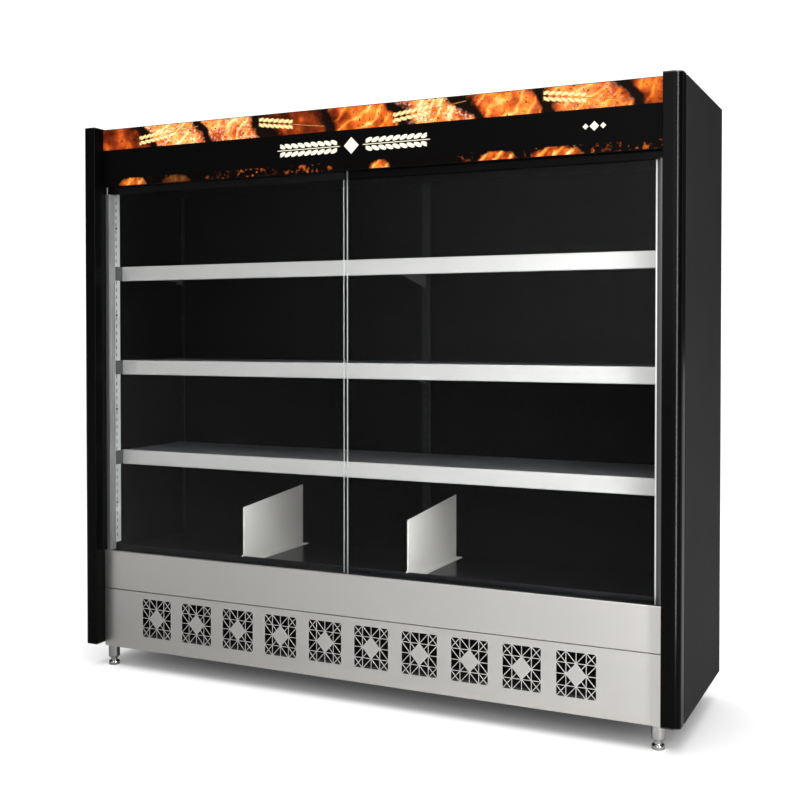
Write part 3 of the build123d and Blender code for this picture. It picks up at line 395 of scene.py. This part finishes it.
def ornament(graph, x, z):
    """Two ears of kernels that point outwards from a lozenge, and three small lozenges to the right."""
    across = graph.math("SUBTRACT", z, BAND_MIDDLE)
    side = graph.math("ABSOLUTE", x)
    reach = kernel_rows(graph, side, across, *ORNAMENT_KERNELS)
    mask = graph.math("MULTIPLY", graph.remap(reach, 1.0, 0.0, 0.8, 1.0),
                      band(graph, side, *ORNAMENT_REACH, 0.002))
    spine = graph.math("MULTIPLY", band(graph, across, -0.0011, 0.0011, 0.0005),
                       band(graph, side, *SPINE_REACH, 0.002))
    mask = graph.math("MAXIMUM", mask, spine)
    for centre, size in LOZENGES:
        gap = graph.math("ABSOLUTE", graph.math("SUBTRACT", x, centre))
        away = graph.math("ADD", gap, graph.math("ABSOLUTE", across))
        mask = graph.math("MAXIMUM", mask, graph.remap(away, 1.0, 0.0, size - 0.001, size))
    return mask


def header_print():
    """The printed film on the header's front."""
    graph = Graph("header_print")
    x, _, z = graph.split()
    ground = loaves(graph, x, z)
    mask, gold = wheat(graph, x, z)
    picture = graph.mix(mask, ground, gold)
    picture = graph.mix(graph.math("LESS_THAN", z, BAND_MIDDLE), picture, buns(graph, x, z))
    inner = band(graph, z, STRIP_LOW, STRIP_HIGH, 0.0008)
    black = graph.mix(ornament(graph, x, z), BAND_BLACK, CREAM)
    graph.set(Base_Color=graph.mix(inner, picture, black), Specular_IOR_Level=0.02)
    graph.set(Roughness=graph.remap(graph.noise(8, 3), 0.2, 0.3))
    return graph.bump(graph.noise(300), 0.006 * MM)


def led_board():
    """White coated board with yellow emitters, told apart by how low they stand."""
    graph = Graph("led_board")
    z = graph.split()[2]
    board_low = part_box("led_board")[0].z + 0.8 * MM
    chip = graph.remap(z, 1.0, 0.0, board_low - 0.2 * MM, board_low - 0.1 * MM)
    white = graph.mix(graph.noise(400), (0.80, 0.80, 0.78, 1), (0.88, 0.88, 0.86, 1))
    graph.set(Base_Color=graph.mix(chip, white, (0.85, 0.62, 0.12, 1)))
    graph.set(Roughness=graph.remap(graph.noise(900), 0.35, 0.5))
    return graph.bump(graph.noise(1200), 0.01 * MM)


materials = {
    "black_satin": paint("black_satin", (0.0018, 0.0018, 0.0019), 0.2, 0.04),
    "charcoal_paint": paint("charcoal_paint", (0.018, 0.018, 0.0188), 0.66, 0.05, 1100, 0.012),
    "black_plastic": moulded("black_plastic", (0.010, 0.010, 0.011), 0.45),
    "header_paint": paint("header_paint", (0.002, 0.002, 0.0022), 0.2, 0.08),
    "header_print": header_print(),
    "liner_paint": paint("liner_paint", (0.0016, 0.0016, 0.0017), 0.6, 0.012, 900, 0.006),
    "stainless": brushed("stainless", (0.60, 0.585, 0.565), 0.34),
    "shelf_steel": brushed("shelf_steel", (0.41, 0.405, 0.40), 0.38, metal=0.5),
    "shelf_paint": paint("shelf_paint", (0.055, 0.055, 0.060), 0.42, 0.3, 900, 0.008),
    "bracket_steel": paint("bracket_steel", (0.036, 0.036, 0.038), 0.42, 0.3, 900, 0.01),
    "standard_steel": zinc_plated("standard_steel", (0.50, 0.50, 0.50), 0.45),
    "black_steel": paint("black_steel", (0.009, 0.009, 0.010), 0.4, 0.05),
    "deck_gloss": paint("deck_gloss", (0.004, 0.004, 0.005), 0.2, 0.15),
    "divider_grey": paint("divider_grey", (0.44, 0.43, 0.415), 0.42, 0.3, 900, 0.008, spread=0.04),
    "aluminium_bright": brushed("aluminium_bright", (0.62, 0.62, 0.62), 0.34, UPRIGHT_GRAIN),
    "aluminium_black": paint("aluminium_black", (0.009, 0.009, 0.010), 0.3, 0.2, 900, 0.004),
    "polished_steel": polished("polished_steel", (0.50, 0.49, 0.48), 0.14),
    "frame_steel": paint("frame_steel", (0.014, 0.014, 0.015), 0.55),
    "galvanised": spangled("galvanised", (0.55, 0.56, 0.57), 0.45, 60),
    "door_glass": door_glass(),
    "rubber_black": rubber("rubber_black", (0.02, 0.02, 0.02)),
    "roller_nylon": moulded("roller_nylon", (0.80, 0.80, 0.77), 0.4),
    "opal": moulded("opal", (0.86, 0.86, 0.84), 0.35, depth=0.01),
    "led_green": led_board(),
    "white_housing": moulded("white_housing", (0.78, 0.78, 0.76), 0.42),
    "cable_black": rubber("cable_black", (0.016, 0.016, 0.016), 0.5),
    "screw_zinc": polished("screw_zinc", (0.62, 0.63, 0.64), 0.3),
}
screw_black = polished("screw_black", (0.03, 0.03, 0.032), 0.35)
# painted shade: a darker copy of the bright jamb metal, given to the right jamb alone
jamb_painted_shade = brushed("jamb_painted_shade", (0.10, 0.10, 0.10), 0.4, UPRIGHT_GRAIN)


def dress_nodes():
    """Gives each CAD node its slot's material, but three of them a darker one: black screws, a dark base pan,
    and for the right jamb a darker copy of the jamb metal, which is painted shade.
    """
    for part in frame["record"]["subparts"]:
        node = cad_nodes[part["node"]]
        node.data.materials.clear()
        node.data.materials.append(materials[part["material_slot"]].material)
    cad_nodes["frame_screws"].data.materials[0] = screw_black.material
    cad_nodes["right_jamb"].data.materials[0] = jamb_painted_shade.material
    cad_nodes["base_pan"].data.materials[0] = materials["frame_steel"].material


# Small geometry on the CAD nodes

EDGE_SEGMENTS = 2
SHARPER_THAN = math.radians(35)


def soften(name, width):
    """Rounds a node's sharp edges with modifiers; its own mesh stays as packed."""
    node = cad_nodes[name]
    weld = node.modifiers.new("weld", "WELD")
    weld.merge_threshold = 0.01 * MM
    bevel = node.modifiers.new("edges", "BEVEL")
    bevel.width = width
    bevel.segments = EDGE_SEGMENTS
    bevel.limit_method = "ANGLE"
    bevel.angle_limit = SHARPER_THAN
    bevel.use_clamp_overlap = True
    bevel.harden_normals = False
    node.modifiers.new("normals", "WEIGHTED_NORMAL").keep_sharp = True


SOFT_EDGES = {
    0.25 * MM: (
        "front_grille_panel", "left_side_panel", "right_side_panel", "header_fascia",
        "divider_left", "divider_right", "bin_deck", "left_jamb", "right_jamb", "door_top_track",
        "door_bottom_track", "left_shelf_brackets", "right_shelf_brackets", "centre_shelf_brackets",
        "left_front_standard", "right_front_standard", "rear_standards", "shelf_lower", "shelf_middle",
        "shelf_top", "header_ceiling", "light_housing", "light_end_caps",
    ),
    0.18 * MM: ("shelf_lip_covers",),
    0.55 * MM: ("front_upper_panel",),
    0.5 * MM: ("left_door_shoe", "right_door_shoe", "switch_body", "led_driver", "power_inlet"),
    0.8 * MM: ("base_rails", "frame_uprights", "frame_crossbars", "post_end_caps"),
}


def box_mesh(name, low, high, bevel):
    """A box between two corners with small rounded edges, as a new object."""
    mesh = bpy.data.meshes.new(name)
    shape = bmesh.new()
    bmesh.ops.create_cube(shape, size=1)
    for vertex in shape.verts:
        vertex.co = Vector([(a + b) / 2 + c * (b - a) for a, b, c in zip(low, high, vertex.co)])
    bmesh.ops.bevel(shape, geom=shape.edges[:], offset=bevel, segments=EDGE_SEGMENTS, affect="EDGES",
                    profile=0.5)
    shape.to_mesh(mesh)
    shape.free()
    for face in mesh.polygons:
        face.use_smooth = True
    piece = bpy.data.objects.new(name, mesh)
    bpy.context.scene.collection.objects.link(piece)
    return piece


EDGE_PROUD = 0.2 * MM
EDGE_WIDTH = 0.6 * MM
PROFILE_WIDTH = 24 * MM
PROFILE_PROUD = 1.0 * MM
BEAD_WIDTH = 4.5 * MM


def pane_piece(name, door, x0, x1, proud, finish):
    """A piece around a stretch of a door's pane, from its shoe to its top edge."""
    low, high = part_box(f"{door}_door_glass")
    shoe_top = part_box(f"{door}_door_shoe")[1].z
    corners = (x0, low.y - proud, shoe_top + proud), (x1, high.y + proud, high.z)
    piece = box_mesh(name, *corners, proud / 3)
    piece.data.materials.append(finish.material)
    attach(piece, f"{door}_door")


def dress_panes():
    """The ground upright edges of both doors, and the right one's smoke-grey profile with its bead."""
    ground = glass_edge()
    for door in ("left", "right"):
        low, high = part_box(f"{door}_door_glass")
        pane_piece(f"{door}_pane_start", door, low.x - EDGE_PROUD, low.x + EDGE_WIDTH, EDGE_PROUD, ground)
        pane_piece(f"{door}_pane_end", door, high.x - EDGE_WIDTH, high.x + EDGE_PROUD, EDGE_PROUD, ground)
    end = high.x - EDGE_WIDTH
    start = end - PROFILE_WIDTH
    pane_piece("edge_profile", "right", start, end, PROFILE_PROUD, edge_profile())
    bead = brushed("edge_bead", (0.80, 0.80, 0.79), 0.35, UPRIGHT_GRAIN, metal=0.5)
    pane_piece("edge_bead", "right", start - BEAD_WIDTH, start, 1.4 * PROFILE_PROUD, bead)


# Studio

FLOOR_HALF = 40
FLOOR_DROP = 0.2 * MM
# The floor as gloss sees it is painted darker, as painted shade: tones on the left side and on the
# right side, and the stretches along Y and X over which they change
LEFT_PAINTED_SHADE_TONES, LEFT_PAINTED_SHADE_STRETCH = (0.40, 0.22), (-1.5, -0.8)
RIGHT_PAINTED_SHADE_TONE, RIGHT_PAINTED_SHADE_STRETCH = 0.54, (-1.3, 0.7)
# Times the diffuse bounces, so that one of them outweighs all glossy ones of a path
DIFFUSE_WEIGHT = 9.0


def mirrored(tree):
    """1 where a surface is seen in gloss and lights nothing, and 0 elsewhere."""
    path = tree.nodes.new("ShaderNodeLightPath").outputs
    scattered = calculate(tree, "MULTIPLY", path["Diffuse Depth"], DIFFUSE_WEIGHT)
    return calculate(tree, "SUBTRACT", path["Glossy Depth"], scattered, clamp=True)


def add_floor():
    """A white floor. In the gloss of the case it is painted darker, most on the left, as painted shade."""
    mesh = bpy.data.meshes.new("floor")
    corners = [(x * FLOOR_HALF, y * FLOOR_HALF, 0) for x, y in ((-1, -1), (1, -1), (1, 1), (-1, 1))]
    mesh.from_pydata(corners, [], [(0, 1, 2, 3)])
    floor = bpy.data.objects.new("floor", mesh)
    floor.location.z = -FLOOR_DROP
    bpy.context.scene.collection.objects.link(floor)
    graph = Graph("floor")
    white = graph.mix(graph.noise(3), (0.90, 0.90, 0.90, 1), (0.93, 0.93, 0.93, 1))
    x, y, _ = graph.split()
    # painted shade: the floor's tone in gloss, darker on the left and lighter towards the right
    left_painted_shade = graph.remap(y, *LEFT_PAINTED_SHADE_TONES, *LEFT_PAINTED_SHADE_STRETCH)
    right_share = graph.remap(x, 0.0, 1.0, *RIGHT_PAINTED_SHADE_STRETCH)
    tone = graph.math("MULTIPLY_ADD", right_share, graph.math("SUBTRACT", RIGHT_PAINTED_SHADE_TONE, left_painted_shade), left_painted_shade)
    painted_shade_colour = graph.add("ShaderNodeCombineColor", {0: tone, 1: tone, 2: tone}).outputs[0]
    graph.set(Base_Color=graph.mix(mirrored(graph.tree), white, painted_shade_colour))
    graph.set(Roughness=graph.remap(graph.noise(20), 0.75, 0.85), Specular_IOR_Level=0.1)
    mesh.materials.append(graph.material)


# The room's strength as a plain light. In gloss: the strength of its dark parts, what the middle of
# the glow adds to it, how narrow the glow is, and the direction it lies in
PLAIN_GLOW = 1.2
DARK_ROOM = 0.03
GLOW_GAIN = 2.9
GLOW_FOCUS = 12.0
FRONT_GLOW = (0.02, -0.99, 0.10)


def add_world():
    """A white room. In gloss it is dark, with one wide glow in front of the case."""
    world = bpy.data.worlds.new("studio")
    bpy.context.scene.world = world
    world.cycles.sampling_method = "NONE"
    world.use_nodes = True
    tree = world.node_tree
    tree.nodes.clear()

    direction = tree.nodes.new("ShaderNodeTexCoord").outputs["Generated"]
    toward = add_node(tree, "ShaderNodeVectorMath", {0: direction, 1: FRONT_GLOW}, operation="DOT_PRODUCT")
    facing = calculate(tree, "MAXIMUM", toward.outputs["Value"], 0.0)
    gathered = calculate(tree, "POWER", facing, GLOW_FOCUS)
    gloss = calculate(tree, "MULTIPLY_ADD", gathered, GLOW_GAIN, DARK_ROOM)
    share = mirrored(tree)
    plain = calculate(tree, "MULTIPLY", calculate(tree, "SUBTRACT", 1.0, share), PLAIN_GLOW)
    strength = calculate(tree, "MULTIPLY_ADD", share, gloss, plain)
    settings = {"Color": (1.0, 1.0, 1.0, 1.0), "Strength": strength}
    background = add_node(tree, "ShaderNodeBackground", settings)
    add_node(tree, "ShaderNodeOutputWorld", {"Surface": background.outputs[0]})


def softbox(name, place, target, size, watts, lights_surfaces):
    """A rectangular lamp. One that doesn't light surfaces shows in their gloss alone."""
    data = bpy.data.lights.new(name, "AREA")
    data.shape = "RECTANGLE"
    data.size, data.size_y = size
    data.energy = watts
    light = bpy.data.objects.new(name, data)
    light.location = place
    aim = Vector(target) - Vector(place)
    light.rotation_euler = aim.to_track_quat("-Z", "Y").to_euler()
    light.visible_diffuse = lights_surfaces
    light.visible_camera = False
    bpy.context.scene.collection.objects.link(light)


# Name, place, target, width and height, watts, and whether it lights surfaces
SOFTBOXES = (
    ("overhead", (0.3, -0.8, 5.0), (0, 0, 0), (5.0, 4.0), 150, True),
    ("front", (1.0, -5.2, 2.4), (0.2, 0, 0.9), (2.4, 2.4), 40, True),
    ("edge_strip", (1.85, -1.19, 1.35), (1.0, -0.3, 1.35), (0.27, 2.66), 175, False),
    ("back_strip", (3.4, 1.8, 1.4), (1.0, -0.2, 1.0), (0.35, 3.2), 8, False),
)


bpy.context.scene.view_settings.view_transform = "Standard"
add_camera()
dress_nodes()
for edge_width, names in SOFT_EDGES.items():
    for node_name in names:
        soften(node_name, edge_width)
dress_panes()
add_floor()
add_world()
for light_settings in SOFTBOXES:
    softbox(*light_settings)
